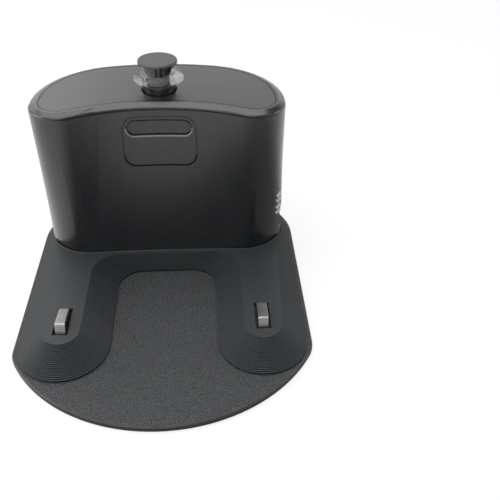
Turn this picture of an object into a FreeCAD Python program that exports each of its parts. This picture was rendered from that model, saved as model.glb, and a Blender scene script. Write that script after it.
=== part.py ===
"""Charging dock for a robot vacuum: a ramped base with two sprung contacts and a hollow tower.

Millimetres. +Z is up, the front (where the robot drives on) faces -Y, and the origin is the
middle of the footprint on the floor.
"""
import FreeCAD, Part
import math
import os
import re

from FreeCAD import Placement, Rotation, Vector

SIZES = {
    # base plate
    "plate_length": "151.2",
    "plate_margin": "5.9",
    "plate_flat_depth": "7.3",
    "plate_front_corner": "13",
    "plate_rear_corner": "31",
    "plate_bottom": "0.5",
    "plate_thickness": "2.1",
    "plate_edge_round": "0.7",
    # ramp cover
    "cover_margin": "2.3",
    "cover_wall": "1.8",
    "arm_half_width": "18.6",
    "arm_setback": "23.4",
    "channel_ledge": "2.3",
    "channel_corner": "11.5",
    "slope_run": "11.4",
    "slope_rise": "10.2",
    "slope_side_run": "6",
    "slope_back_run": "1.1",
    "ridge_count": "18",
    "reveal_height": "0.6",
    "reveal_depth": "0.7",
    # tower
    "tower_top": "82.5",
    "tower_wall": "2.6",
    "tower_roof": "4.6",
    "tower_gap": "0.2",
    "foot_half_width": "56",
    "foot_depth": "55.3",
    "foot_hollow": "0.3",
    "foot_front_corner": "24",
    "foot_back_margin": "3.5",
    "foot_back_corner": "30",
    "rim_side_lean": "2.4",
    "rim_front_lean": "-0.2",
    "rim_hollow": "9.2",
    "rim_front_corner": "13",
    "rim_back_lean": "0.4",
    "rim_back_corner": "37.4",
    "rim_corner_shift": "3",
    "rim_slope_run": "2.7",
    "rim_slope_drop": "1.25",
    "rim_round": "1.2",
    # lid let into the tower's top
    "lid_inset": "4",
    "lid_thickness": "2",
    "lid_ledge": "2.6",
    "lid_gap": "0.15",
    "lid_reveal": "0.3",
    # window in the tower's front
    "window_half_width": "15.3",
    "window_height": "21.6",
    "window_drop": "5.3",
    "window_corner": "5",
    "window_thickness": "1.4",
    "window_ledge": "1.6",
    "window_gap": "0.25",
    "pill_side_gap": "1.3",
    "pill_height": "7.5",
    "pill_corner": "3.65",
    "pill_drop": "0.9",
    "pill_depth": "0.7",
    # louvres in the tower's right corner
    "louvre_length": "4.6",
    "louvre_height": "1.1",
    "louvre_low": "27.5",
    "louvre_step": "3",
    "louvre_pair_step": "6.7",
    "louvre_angle": "-31",
    # beacon on the lid
    "beacon_setback": "15.2",
    "beacon_hole_radius": "7.8",
    "collar_radius": "6.5",
    "collar_rise": "1.4",
    "neck_radius": "4.8",
    "neck_sink": "1.2",
    "neck_rise": "2.6",
    "dish_radius": "10.7",
    "dish_rise": "5.9",
    "dish_rim": "0.8",
    "bowl_foot_radius": "5.4",
    "bowl_foot": "4.2",
    "bowl_bulge_radius": "7.4",
    "bowl_bulge": "6.4",
    "bowl_radius": "8.2",
    "bowl_shoulder": "8.8",
    "bowl_high": "12.3",
    "bowl_wall": "1.3",
    "bowl_pit": "8.6",
    "cap_radius": "8.4",
    "cap_round": "0.6",
    "cap_thickness": "1",
    # sprung charging contacts
    "slot_setback": "16",
    "slot_length": "15.6",
    "slot_width": "6.2",
    "strip_side_gap": "1",
    "strip_thickness": "0.8",
    "strip_rise": "3.3",
    "strip_end_gap": "0.8",
    "strip_nose": "2.2",
    "strip_fold_back": "0.55",
    "strip_fold_drop": "1.05",
    "contact_travel": "2.5",
    "carrier_flange": "2",
    "carrier_lip": "1.4",
    "carrier_gap": "0.3",
    "stem_radius": "2",
    "spring_wire": "0.6",
    "spring_turns": "4",
    "spring_sides": "6",
    "spring_stations": "10",
    "cup_wall": "1.2",
    "cup_height": "2.6",
    # screws and feet
    "boss_radius": "3.6",
    "boss_bite": "1.2",
    "boss_height": "9",
    "heel_boss_angle": "62",
    "screw_radius": "1.3",
    "screw_head_radius": "2.6",
    "screw_head": "1.1",
    "screw_gap": "0.2",
    "pad_radius": "5",
    "pad_sink": "0.8",
    # electronics
    "ballast_thickness": "2.4",
    "board_half_width": "31",
    "board_depth": "26",
    "board_thickness": "1.6",
    "board_rise": "6",
    "board_wall_gap": "5",
    "post_radius": "2.6",
    "post_inset": "3.6",
    "small_screw_radius": "0.9",
    "transformer_size": "20",
    "transformer_height": "17",
    "yoke_depth": "6.6",
    "bobbin_width": "14",
    "bobbin_height": "10.2",
    "capacitor_radius": "5",
    "capacitor_height": "16",
    "capacitor_side_gap": "3",
    "capacitor_pair_gap": "0.5",
    "choke_radius": "5.5",
    "choke_wire": "2.6",
    "sink_width": "14",
    "sink_height": "18",
    "fin_depth": "4.8",
    "fin_count": "5",
    "led_radius": "2.5",
    "led_length": "4.5",
    "window_board_gap": "9",
    "window_board_half_width": "24",
    "window_board_half_height": "5.5",
    "beacon_board_drop": "7",
    "beacon_board_half_width": "15",
    # mains inlet in the tower's right side
    "inlet_height": "20.5",
    "inlet_setback": "21.2",
    "inlet_sink": "3.7",
    "inlet_depth": "15",
    "inlet_pin_spacing": "8.6",
    "inlet_lobe_radius": "4.2",
    "inlet_wall": "1.5",
    "inlet_socket_depth": "12",
    "inlet_pin_radius": "1.2",
    "inlet_pin_length": "9.5",
}

# Places that several pieces share, as formulas over the driving dimensions.
PLACES = {
    "plate_half_width": "foot_half_width + plate_margin",
    "plate_front": "-plate_length / 2",
    "plate_back": "plate_length / 2",
    "plate_front_radius": "plate_half_width + plate_flat_depth",
    "plate_top": "plate_bottom + plate_thickness",
    "foot_back": "plate_back - foot_back_margin",
    "foot_front": "foot_back - foot_depth",
    "foot_front_middle": "foot_front + foot_hollow",
    "rim_half_width": "foot_half_width - rim_side_lean",
    "rim_front": "foot_front + rim_front_lean",
    "rim_front_middle": "rim_front + rim_hollow",
    "rim_back": "foot_back - rim_back_lean",
    "arm_front": "plate_front + arm_setback",
    "arm_front_centre": "arm_front + arm_half_width",
    "channel_back": "foot_front - channel_ledge",
    "slot_front": "arm_front + slot_setback",
    "slot_back": "slot_front + slot_length",
    "strip_width": "slot_width - 2 * strip_side_gap",
    "window_high": "tower_top - window_drop",
    "window_low": "window_high - window_height",
    "pill_half_width": "window_half_width - pill_side_gap",
    "beacon_back": "rim_front_middle + beacon_setback",
    "inlet_back": "foot_front + inlet_setback",
    "inlet_share": "(inlet_height - plate_top) / (tower_top - plate_top)",
    "inlet_face": "foot_half_width - rim_side_lean * inlet_share - inlet_sink",
    "arm_centre": "plate_half_width - cover_margin - arm_half_width",
    "plateau": "plate_top + slope_rise",
    "cover_roof": "plateau - cover_wall",
    "slot_middle": "(slot_front + slot_back) / 2",
    "carrier_top": "cover_roof - carrier_gap",
    "spring_radius": "stem_radius + 2 * spring_wire",
    "cup_bore": "spring_radius + spring_wire",
    "lid_low": "tower_top - lid_thickness",
    "rim_bend": "tower_top - rim_slope_drop",
    "rim_bend_share": "(rim_bend - plate_top) / (tower_top - plate_top)",
    "board_low": "plate_top + board_rise",
    "board_top": "board_low + board_thickness",
    "board_front": "(foot_front_middle + rim_front_middle) / 2 + tower_wall + board_wall_gap",
    "board_back": "board_front + board_depth",
    "board_middle": "(board_front + board_back) / 2",
    "board_post_x": "board_half_width - post_inset",
    "window_middle": "(window_low + window_high) / 2",
    "window_board_front": "rim_front_middle + window_board_gap",
    "window_post_x": "window_board_half_width - post_inset",
    "beacon_board_top": "lid_low - beacon_board_drop",
    "beacon_board_low": "beacon_board_top - board_thickness",
    "beacon_post_x": "beacon_board_half_width - post_inset",
    "side_boss_x": "foot_half_width - tower_wall - boss_radius + boss_bite",
    "side_boss_y": "foot_front + foot_front_corner",
    "drill_radius": "small_screw_radius + screw_gap",
    "inlet_root": "inlet_face - inlet_depth",
}

doc = FreeCAD.newDocument("charging_dock")
sheet = doc.addObject("Spreadsheet::Sheet", "Sizes")
cells = SIZES | {alias: f"={formula}" for alias, formula in PLACES.items()}
for row, (alias, content) in enumerate(cells.items(), start=1):
    sheet.set(f"A{row}", alias)
    sheet.set(f"B{row}", content)
    sheet.setAlias(f"B{row}", alias)
doc.recompute()


class Size:
    """Reads a driving dimension from the sheet by its alias."""

    def __getattr__(self, alias):
        return float(sheet.get(alias))


size = Size()
nodes = []
TOUCH = 1e-4  # ends and faces closer than this meet


def bind(obj, **places):
    """Bind properties to sums of sheet aliases; x, y and z are the object's place."""
    for prop, text in places.items():
        path = f"Placement.Base.{prop}" if prop in "xyz" else prop
        obj.setExpression(path, re.sub(r"[a-z][a-z_]*", r"Sizes.\g<0>", str(text)))
    return obj


def primitive(kind, name, axis=Vector(0, 0, 1), **places):
    """A bound Part primitive whose own Z runs along the axis."""
    obj = doc.addObject(f"Part::{kind}", name)
    obj.Placement.Rotation = Rotation(Vector(0, 0, 1), axis)
    return bind(obj, **places)


def group(name, pieces):
    """Equal pieces kept as one object."""
    obj = doc.addObject("Part::Compound", name)
    obj.Links = pieces
    return obj


def fuse(name, pieces):
    obj = doc.addObject("Part::MultiFuse", name)
    obj.Shapes = pieces
    return obj


def cut(name, base, tools):
    """The base with every tool taken away."""
    obj = doc.addObject("Part::Cut", name)
    obj.Base = base
    obj.Tool = fuse(f"{name}_tools", tools)
    return obj


def feature(name, shape):
    """A piece whose shape is worked out in code from the sheet."""
    obj = doc.addObject("Part::Feature", name)
    obj.Shape = shape
    return obj


def node(obj, label):
    """Name a finished piece, so that it is checked and written."""
    obj.Label = label
    nodes.append(obj)
    return obj


def mirror_pair(points):
    """Each point and its mirror image in the plane X = 0."""
    return [Vector(side * p.x, p.y, p.z) for p in points for side in (1, -1)]


def new_body(name, **places):
    return bind(doc.addObject("PartDesign::Body", name), **places)


def sketch(body, role, geometry, lift=None):
    """A sketch on one of the body's own origin planes, lifted along its normal."""
    obj = body.newObject("Sketcher::SketchObject", f"{body.Name}_sketch")
    plane = next(item for item in body.Origin.OriginFeatures if item.Role == role)
    obj.AttachmentSupport = (plane, [""])
    obj.MapMode = "FlatFace"
    if lift:
        bind(obj, **{"AttachmentOffset.Base.z": lift})
    for item in geometry:
        obj.addGeometry(item, False)
    return obj


def pad(body, profile, length, reverse=False, middle=False):
    obj = body.newObject("PartDesign::Pad", f"{body.Name}_pad")
    obj.Profile = profile
    obj.Reversed = reverse
    obj.Midplane = middle
    return bind(obj, Length=length)


def pocket(body, profile, length, reverse=False):
    obj = body.newObject("PartDesign::Pocket", f"{body.Name}_pocket")
    obj.Profile = profile
    obj.Reversed = reverse
    return bind(obj, Length=length)


def revolve(body, profile):
    obj = body.newObject("PartDesign::Revolution", f"{body.Name}_turn")
    obj.Profile = profile
    obj.ReferenceAxis = (profile, ["V_Axis"])
    obj.Angle = 360
    return obj


def circles(points, radius):
    return [Part.Circle(Vector(p.x, p.y, 0), Vector(0, 0, 1), radius) for p in points]


def loop(points, bends=None):
    """Sketch lines through the points and back to the first; a bend makes one an arc through its point."""
    bends = bends or {}
    sides = enumerate(zip(points, points[1:] + points[:1]))
    return [Part.Arc(a, bends[i], b) if i in bends else Part.LineSegment(a, b) for i, (a, b) in sides]


def arc(centre, radius, start, end, z=0):
    """An arc edge in a level plane, from one angle to another through the angle between them."""
    spots = [Vector(centre.x + radius * math.cos(a), centre.y + radius * math.sin(a), z)
             for a in (start, (start + end) / 2, end)]
    return Part.Arc(*spots)


def closed_wire(arcs):
    """Join arcs, in order, with straight lines where their ends are apart."""
    edges = []
    for this, following in zip(arcs, arcs[1:] + arcs[:1]):
        edges.append(this.toShape())
        if this.EndPoint.distanceToPoint(following.StartPoint) > TOUCH:
            edges.append(Part.LineSegment(this.EndPoint, following.StartPoint).toShape())
    return Part.Wire(edges)


def rounded_slab(half_x, half_z, corner, near, far, middle_z):
    """A prism along Y with a rounded rectangle as its section, centred on X = 0."""
    slab = Part.makeBox(2 * half_x, far - near, 2 * half_z, Vector(-half_x, near, middle_z - half_z))
    upright = [e for e in slab.Edges if abs(e.tangentAt(e.FirstParameter).y) > 0.9]
    return slab.makeFillet(corner, upright)


# Plan of the base plate: a flat-sided disc whose rear corners are rounded.

def plate_wire(inset, z):
    half = size.plate_half_width - inset
    front_r = size.plate_front_radius - inset
    corner = size.plate_front_corner
    rear = size.plate_rear_corner - inset
    disc = Vector(0, size.plate_front + size.plate_front_radius, 0)
    drop = math.sqrt((front_r - corner) ** 2 - (half - corner) ** 2)
    swing = math.atan2(drop, half - corner)
    right = Vector(half - corner, disc.y - drop, 0)
    left = Vector(-right.x, right.y, 0)
    back_right = Vector(half - rear, size.plate_back - inset - rear, 0)
    back_left = Vector(-back_right.x, back_right.y, 0)
    return closed_wire([
        arc(disc, front_r, -math.pi + swing, -swing, z),
        arc(right, corner, -swing, 0, z),
        arc(back_right, rear, 0, math.pi / 2, z),
        arc(back_left, rear, math.pi / 2, math.pi, z),
        arc(left, corner, math.pi, math.pi + swing, z),
    ])


# Plan of the ramp cover: two round-ended arms joined round the back of the channel.

def cover_wire(inset, side_inset, back_inset, z):
    """The cover's plan; side_inset is for its outer sides and back, back_inset for the channel's back."""
    arm = size.arm_half_width - inset
    tip = Vector(size.arm_centre, size.arm_front_centre, 0)
    rear = size.plate_rear_corner - size.cover_margin - side_inset
    outer = size.plate_half_width - size.cover_margin - side_inset
    back = size.plate_back - size.cover_margin - side_inset
    heel = Vector(outer - rear, back - rear, 0)
    reach = heel - tip
    # the straight outer side touches both the arm's end and the rear corner
    lean = math.atan2(reach.y, reach.x) - math.acos((arm - rear) / reach.Length)
    nook_r = size.channel_corner + back_inset
    nook = Vector(size.arm_centre - arm - nook_r, size.channel_back + back_inset - nook_r, 0)

    def flip(v):
        return Vector(-v.x, v.y, 0)

    half_turn = math.pi
    return closed_wire([
        arc(tip, arm, -half_turn, lean, z),
        arc(heel, rear, lean, half_turn / 2, z),
        arc(flip(heel), rear, half_turn / 2, half_turn - lean, z),
        arc(flip(tip), arm, half_turn - lean, 2 * half_turn, z),
        arc(flip(nook), nook_r, half_turn, half_turn / 2, z),
        arc(nook, nook_r, half_turn / 2, 0, z),
    ])


# Plan of the tower: hollow front, rounded ends, bowed back.

def tower_wire(share, inset):
    """The tower's plan at a share of the way from foot to top, moved inwards by inset."""
    def between(foot, rim):
        return foot + (rim - foot) * share

    half = between(size.foot_half_width, size.rim_half_width) - inset
    front = between(size.foot_front, size.rim_front) + inset
    middle = between(size.foot_front_middle, size.rim_front_middle) + inset
    corner = between(size.foot_front_corner, size.rim_front_corner) - inset
    back = between(size.foot_back, size.rim_back) - inset
    heel = between(size.foot_back_corner, size.rim_back_corner) - inset
    z = between(size.plate_top, size.tower_top)
    toe = Vector(half - corner, front + corner, 0)
    ankle = Vector(half - heel, toe.y + size.rim_corner_shift * share, 0)
    # the hollow and the bow are the circles that run smoothly into the corners
    rise = toe.y - middle
    hollow = (toe.x ** 2 + rise ** 2 - corner ** 2) / (2 * (corner - rise))
    swing = math.atan2(rise + hollow, toe.x)
    fall = ankle.y - back
    bow = -(ankle.x ** 2 + fall ** 2 - heel ** 2) / (2 * (fall + heel))
    spread = math.atan2(fall + bow, ankle.x)

    def flip(v):
        return Vector(-v.x, v.y, 0)

    half_turn = math.pi
    return closed_wire([
        arc(Vector(0, middle - hollow, 0), hollow, half_turn - swing, swing, z),
        arc(toe, corner, swing - half_turn, 0, z),
        arc(ankle, heel, 0, spread, z),
        arc(Vector(0, back - bow, 0), bow, spread, half_turn - spread, z),
        arc(flip(ankle), heel, half_turn - spread, half_turn, z),
        arc(flip(toe), corner, half_turn, 2 * half_turn - swing, z),
    ])


def tower_solid(inset):
    return Part.makeLoft([tower_wire(0, inset), tower_wire(1, inset)], True, True)


def tower_block():
    """The tower's outside: upright walls, and a rim that falls away all round the lid."""
    wires = [tower_wire(0, 0), tower_wire(size.rim_bend_share, 0), tower_wire(1, size.rim_slope_run)]
    return Part.makeLoft(wires, True, True)


def tower_prism(inset, low, high):
    """The plan of the tower's top, moved inwards and made a straight block between two heights."""
    wire = tower_wire(1, inset)
    wire.translate(Vector(0, 0, low - size.tower_top))
    return Part.Face(wire).extrude(Vector(0, 0, high - low))


# Plan positions of the screws, posts and feet.

heel_reach = size.foot_back_corner - size.tower_wall - size.boss_radius + size.boss_bite
heel_angle = math.radians(size.heel_boss_angle)
rear_boss_x = size.foot_half_width - size.foot_back_corner + heel_reach * math.cos(heel_angle)
rear_boss_y = size.side_boss_y + heel_reach * math.sin(heel_angle)
tower_bosses = mirror_pair([
    Vector(size.side_boss_x, size.side_boss_y, 0),
    Vector(rear_boss_x, rear_boss_y, 0),
])
cover_bosses = mirror_pair([
    Vector(size.arm_centre, size.arm_front_centre - size.arm_half_width / 2, 0),
    Vector(size.arm_centre, (size.slot_back + size.foot_front) / 2, 0),
])
board_posts = mirror_pair([
    Vector(size.board_post_x, size.board_front + size.post_inset, 0),
    Vector(size.board_post_x, size.board_back - size.post_inset, 0),
])
window_posts = mirror_pair([Vector(size.window_post_x, 0, size.window_middle)])
beacon_posts = mirror_pair([Vector(size.beacon_post_x, size.beacon_back, 0)])
contact_spots = mirror_pair([Vector(size.arm_centre, size.slot_middle, 0)])
pads = mirror_pair([
    Vector(size.pad_radius * 2, size.plate_front + size.pad_radius * 2, 0),
    Vector(size.arm_centre, (size.slot_back + size.foot_front) / 2 - 3 * size.pad_radius, 0),
    Vector(rear_boss_x - 2 * size.pad_radius, rear_boss_y, 0),
])


def base_plate():
    """Moulded floor of the dock, with screw wells and foot recesses below and spring cups above."""
    body = new_body("Plate")

    def level(geometry, lift):
        return sketch(body, "XY_Plane", geometry, lift)

    pad(body, level([e.Curve.trim(*e.ParameterRange) for e in plate_wire(0, 0).Edges], "plate_bottom"),
        "plate_top - plate_bottom")
    pad(body, level(circles(contact_spots, size.cup_bore + size.cup_wall), "plate_top"), "cup_height")
    pad(body, level(circles(board_posts, size.post_radius), "plate_top"), "board_rise")
    pocket(body, level(circles(contact_spots, size.cup_bore), "plate_top"), "cup_height", reverse=True)
    pocket(body, level(circles(board_posts, size.small_screw_radius), "plate_top"), "board_rise",
           reverse=True)
    pocket(body, level(circles(pads, size.pad_radius + size.screw_gap), "plate_bottom"), "pad_sink",
           reverse=True)
    screws = tower_bosses + cover_bosses
    head = size.screw_head_radius + size.screw_gap
    pocket(body, level(circles(screws, head), "plate_bottom"), "screw_head", reverse=True)
    pocket(body, level(circles(screws, size.screw_radius + size.screw_gap), "plate_bottom"), "plate_top",
           reverse=True)
    doc.recompute()
    block = body.Tip
    brim = plate_wire(0, size.plate_top)
    edges = [f"Edge{i}" for i, e in enumerate(block.Shape.Edges, start=1)
             if e.BoundBox.ZMin > size.plate_top - TOUCH and e.CenterOfMass.z < size.plate_top + TOUCH
             and all(brim.distToShape(v)[0] < TOUCH for v in e.Vertexes)]
    rim = body.newObject("PartDesign::Fillet", "Plate_edge")
    rim.Base = (block, edges)
    bind(rim, Radius="plate_edge_round")
    return node(body, "base_plate")


def base_cover(tower):
    """U-shaped ramp: its slopes are a flight of fine ridges that follow the plan inwards."""
    steps = int(size.ridge_count)
    low = size.plate_top + size.reveal_height
    rise = (size.plateau - low) / steps
    # the foot stands back a little, which draws a shadow line round the cover
    reveal = cover_wire(size.reveal_depth, size.reveal_depth, size.reveal_depth, size.plate_top)
    layers = [Part.Face(reveal).extrude(Vector(0, 0, size.reveal_height))]
    for step in range(steps):
        share = step / steps
        wire = cover_wire(size.slope_run * share, size.slope_side_run * share,
                          size.slope_back_run * share, low + rise * step)
        layers.append(Part.Face(wire).extrude(Vector(0, 0, rise)))
    ramp = layers[0].multiFuse(layers[1:]).removeSplitter()
    wall = size.cover_wall
    low_ring = cover_wire(wall, wall, wall, size.plate_top)
    high_ring = cover_wire(size.slope_run + wall / 2, size.slope_side_run + wall / 2,
                           size.slope_back_run + wall, size.cover_roof)
    hollow = Part.makeLoft([low_ring, high_ring], True, True)
    bosses = [Part.makeCylinder(size.boss_radius, size.slope_rise, Vector(p.x, p.y, size.plate_top))
              for p in cover_bosses]
    pilots = [Part.makeCylinder(size.screw_radius, size.slope_rise / 2, Vector(p.x, p.y, size.plate_top))
              for p in cover_bosses]
    slots = [Part.makeBox(size.slot_width, size.slot_back - size.slot_front, size.slope_rise,
                          Vector(p.x - size.slot_width / 2, size.slot_front, size.plate_top))
             for p in contact_spots]
    shell = ramp.cut(hollow).fuse(ramp.common(Part.makeCompound(bosses)))
    trimmed = shell.cut(pilots + slots + [tower])
    # the tower's rear corners can cut thin scraps off the upper ridges
    whole = max(trimmed.Solids, key=lambda solid: solid.Volume)
    return node(feature("Cover", whole), "base_cover")


def window_block(grow, near, far):
    """The window's rounded outline as a prism through the tower's front."""
    half_z = size.window_height / 2 + grow
    return rounded_slab(size.window_half_width + grow, half_z, size.window_corner + grow, near, far,
                        size.window_middle)


def front_skin(outer, depth):
    """The layer of the tower's front, a given depth thick along Y."""
    behind = outer.copy()
    behind.translate(Vector(0, depth, 0))
    return outer.cut(behind)


def tower_shell(outer):
    """Hollow tower, open below, with a ledge for the lid and a seat for the window."""
    bend = size.rim_bend
    bend_edges = [e for e in outer.Edges if e.BoundBox.ZMin > bend - TOUCH and e.BoundBox.ZMax < bend + TOUCH]
    rounded = outer.makeFillet(size.rim_round, bend_edges)
    roof_low = size.tower_top - size.tower_roof
    span = 4 * size.foot_half_width
    below_roof = Part.makeBox(span, span, roof_low, Vector(-span / 2, -span / 2, 0))
    inside = tower_solid(size.tower_wall).common(below_roof)
    lid_seat = tower_prism(size.lid_inset, size.lid_low, size.tower_top + size.rim_round)
    hatch = tower_prism(size.lid_inset + size.lid_ledge, roof_low - size.tower_wall, size.lid_low)
    far = size.rim_front_middle + size.tower_wall + size.window_board_gap
    seat = front_skin(outer, size.window_thickness).common(window_block(size.window_gap, 0, far))
    view = window_block(-size.window_ledge, 0, far)
    well = Part.makeCylinder(size.beacon_hole_radius + size.lid_gap, size.tower_roof,
                             Vector(0, size.beacon_back, roof_low))
    shell = rounded.cut([inside, lid_seat, hatch, well, seat, view])
    bosses = [Part.makeCylinder(size.boss_radius, size.boss_height, Vector(p.x, p.y, size.plate_top))
              for p in tower_bosses]
    pilots = [Part.makeCylinder(size.screw_radius, size.boss_height - size.screw_head,
                                Vector(p.x, p.y, size.plate_top)) for p in tower_bosses]
    inward, depth = Vector(0, 1, 0), size.board_wall_gap
    posts = [Part.makeCylinder(size.post_radius, size.window_board_front, Vector(p.x, 0, p.z), inward)
             for p in window_posts]
    post_pilots = [Part.makeCylinder(size.small_screw_radius, depth,
                                     Vector(p.x, size.window_board_front - depth, p.z), inward)
                   for p in window_posts]
    shell = shell.fuse(outer.common(Part.makeCompound(bosses + posts)))
    return node(feature("Tower", shell.cut(pilots + post_pilots + louvres() + [inlet_block(size.lid_gap)])),
                "tower_shell")


def louvres():
    """Two pairs of narrow slots across the tower's right front corner."""
    cuts = []
    for pair in (0, 1):
        for line in (0, 1):
            z = size.louvre_low + pair * size.louvre_pair_step + line * size.louvre_step
            share = (z - size.plate_top) / (size.tower_top - size.plate_top)
            corner = size.foot_front_corner + (size.rim_front_corner - size.foot_front_corner) * share
            half = size.foot_half_width + (size.rim_half_width - size.foot_half_width) * share
            front = size.foot_front + (size.rim_front - size.foot_front) * share
            slot = Part.makeBox(4 * size.tower_wall, size.louvre_length, size.louvre_height,
                                Vector(corner - 2 * size.tower_wall, -size.louvre_length / 2,
                                       -size.louvre_height / 2))
            slot.Placement = Placement(Vector(half - corner, front + corner, z),
                                       Rotation(Vector(0, 0, 1), size.louvre_angle))
            cuts.append(slot)
    return cuts


def inlet_section(radius, near, length):
    """A rounded bar along X, as wide as both lobes of the mains inlet."""
    half = size.inlet_pin_spacing / 2
    lobes = [Part.makeCylinder(radius, length,
                               Vector(near, size.inlet_back + side * half, size.inlet_height),
                               Vector(1, 0, 0)) for side in (1, -1)]
    bridge = Part.makeBox(length, 2 * half, 2 * radius,
                          Vector(near, size.inlet_back - half, size.inlet_height - radius))
    return bridge.fuse(lobes).removeSplitter()


def inlet_block(grow):
    """The inlet's outside, long enough to pass through the tower's side."""
    return inlet_section(size.inlet_lobe_radius + size.inlet_wall + grow,
                         size.inlet_face - size.inlet_depth, size.inlet_depth + size.foot_half_width)


def mains_inlet():
    """Two-pole inlet: a figure-of-eight socket in a rounded block."""
    block = inlet_section(size.inlet_lobe_radius + size.inlet_wall, size.inlet_face - size.inlet_depth,
                          size.inlet_depth)
    half = size.inlet_pin_spacing / 2
    near = size.inlet_face - size.inlet_socket_depth
    lobes = [Part.makeCylinder(size.inlet_lobe_radius, size.inlet_socket_depth,
                               Vector(near, size.inlet_back + side * half, size.inlet_height),
                               Vector(1, 0, 0)) for side in (1, -1)]
    pin_holes = [Part.makeCylinder(size.inlet_pin_radius, size.inlet_depth,
                                   Vector(size.inlet_face - size.inlet_depth,
                                          size.inlet_back + side * half, size.inlet_height), Vector(1, 0, 0))
                 for side in (1, -1)]
    neck = Part.makeBox(size.inlet_socket_depth, 2 * half, size.inlet_lobe_radius,
                        Vector(near, size.inlet_back - half, size.inlet_height - size.inlet_lobe_radius / 2))
    node(feature("Inlet", block.cut(lobes + [neck] + pin_holes)), "mains_inlet")
    pins = [primitive("Cylinder", f"Pin_{index}", Vector(1, 0, 0), Radius="inlet_pin_radius",
                      Height="inlet_depth - inlet_socket_depth + inlet_pin_length", x="inlet_root",
                      y=f"inlet_back + ({side}) * inlet_pin_spacing / 2", z="inlet_height")
            for index, side in enumerate((1, -1))]
    node(group("Pins", pins), "inlet_pins")


def top_lid():
    """Plate let into the tower's top, with the beacon's hole and two screw posts under it."""
    low = size.lid_low
    plate = tower_prism(size.lid_inset + size.lid_reveal, low, size.tower_top)
    hole = Part.makeCylinder(size.beacon_hole_radius, 2 * size.lid_thickness,
                             Vector(0, size.beacon_back, low - size.lid_thickness / 2))
    drop = size.beacon_board_drop
    posts = [Part.makeCylinder(size.post_radius, drop, Vector(p.x, p.y, low - drop)) for p in beacon_posts]
    pilots = [Part.makeCylinder(size.small_screw_radius, drop, Vector(p.x, p.y, low - drop))
              for p in beacon_posts]
    return node(feature("Lid", plate.fuse(posts).cut(pilots + [hole])), "top_plate")


def front_window(outer):
    """Dark window, flush with the hollow front, with a pill-shaped dip along its top."""
    far = size.rim_front_middle + size.tower_wall + size.window_board_gap
    pane = front_skin(outer, size.window_thickness).common(window_block(0, 0, far))
    pill_middle = size.window_high - size.pill_drop - size.pill_height / 2
    half = size.pill_height / 2
    pill = rounded_slab(size.pill_half_width, half, size.pill_corner, 0, far, pill_middle)
    return node(feature("Window", pane.cut(front_skin(outer, size.pill_depth).common(pill))), "front_window")


def turned_piece(name, label, points, bends):
    """A piece turned about the beacon's axis; points are radius and height above the lid."""
    body = new_body(name, y="beacon_back", z="tower_top")
    corners = [Vector(r, z, 0) for r, z in points]
    middles = {index: Vector(r, z, 0) for index, (r, z) in bends.items()}
    revolve(body, sketch(body, "XZ_Plane", loop(corners, middles)))
    return node(body, label)


def beacon():
    """Collar, clear bowl in its dish, and cap, stacked on the beacon board."""
    floor = -size.lid_thickness - size.beacon_board_drop
    neck, collar, bore = size.neck_radius, size.collar_radius, size.neck_radius + size.lid_gap
    foot = size.beacon_hole_radius - size.lid_gap
    turned_piece("Collar", "beacon_collar", [
        (bore, floor), (foot, floor), (foot, -size.lid_thickness / 2), (collar, 0),
        (collar, size.collar_rise), (bore, size.collar_rise)], {})
    dish, bowl, high = size.dish_radius, size.bowl_radius, size.bowl_high
    turned_piece("Lens", "beacon_lens", [
        (0, -size.neck_sink), (neck, -size.neck_sink), (neck, size.neck_rise),
        (dish, size.dish_rise - size.dish_rim), (dish, size.dish_rise),
        (size.bowl_foot_radius, size.bowl_foot), (bowl, size.bowl_shoulder), (bowl, high),
        (bowl - size.bowl_wall, high), (0, size.bowl_pit),
    ], {5: (size.bowl_bulge_radius, size.bowl_bulge)})
    cap, top = size.cap_radius, high + size.cap_thickness
    soft = size.cap_round
    reach = soft - soft * math.sqrt(0.5)
    turned_piece("Cap", "beacon_cap", [
        (0, high), (cap, high), (cap, top - soft), (cap - soft, top), (0, top),
    ], {2: (cap - reach, top - reach)})


def coil_spring(low, high):
    """A coil about the Z axis: a many-sided wire, ruled from station to station."""
    wire = size.spring_wire / 2
    sides, stations = int(size.spring_sides), int(size.spring_stations)
    count = int(size.spring_turns * stations)
    rings = []
    for step in range(count + 1):
        turn = 2 * math.pi * step / stations
        lift = low + wire + (high - low - 2 * wire) * step / count
        ring = []
        for corner in range(sides):
            angle = math.pi / 2 + 2 * math.pi * corner / sides
            reach = size.spring_radius + wire * math.cos(angle)
            ring.append(Vector(reach * math.cos(turn), reach * math.sin(turn),
                               lift + wire * math.sin(angle)))
        rings.append(Part.makePolygon(ring + ring[:1]))
    return Part.makeLoft(rings, True, True)


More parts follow.
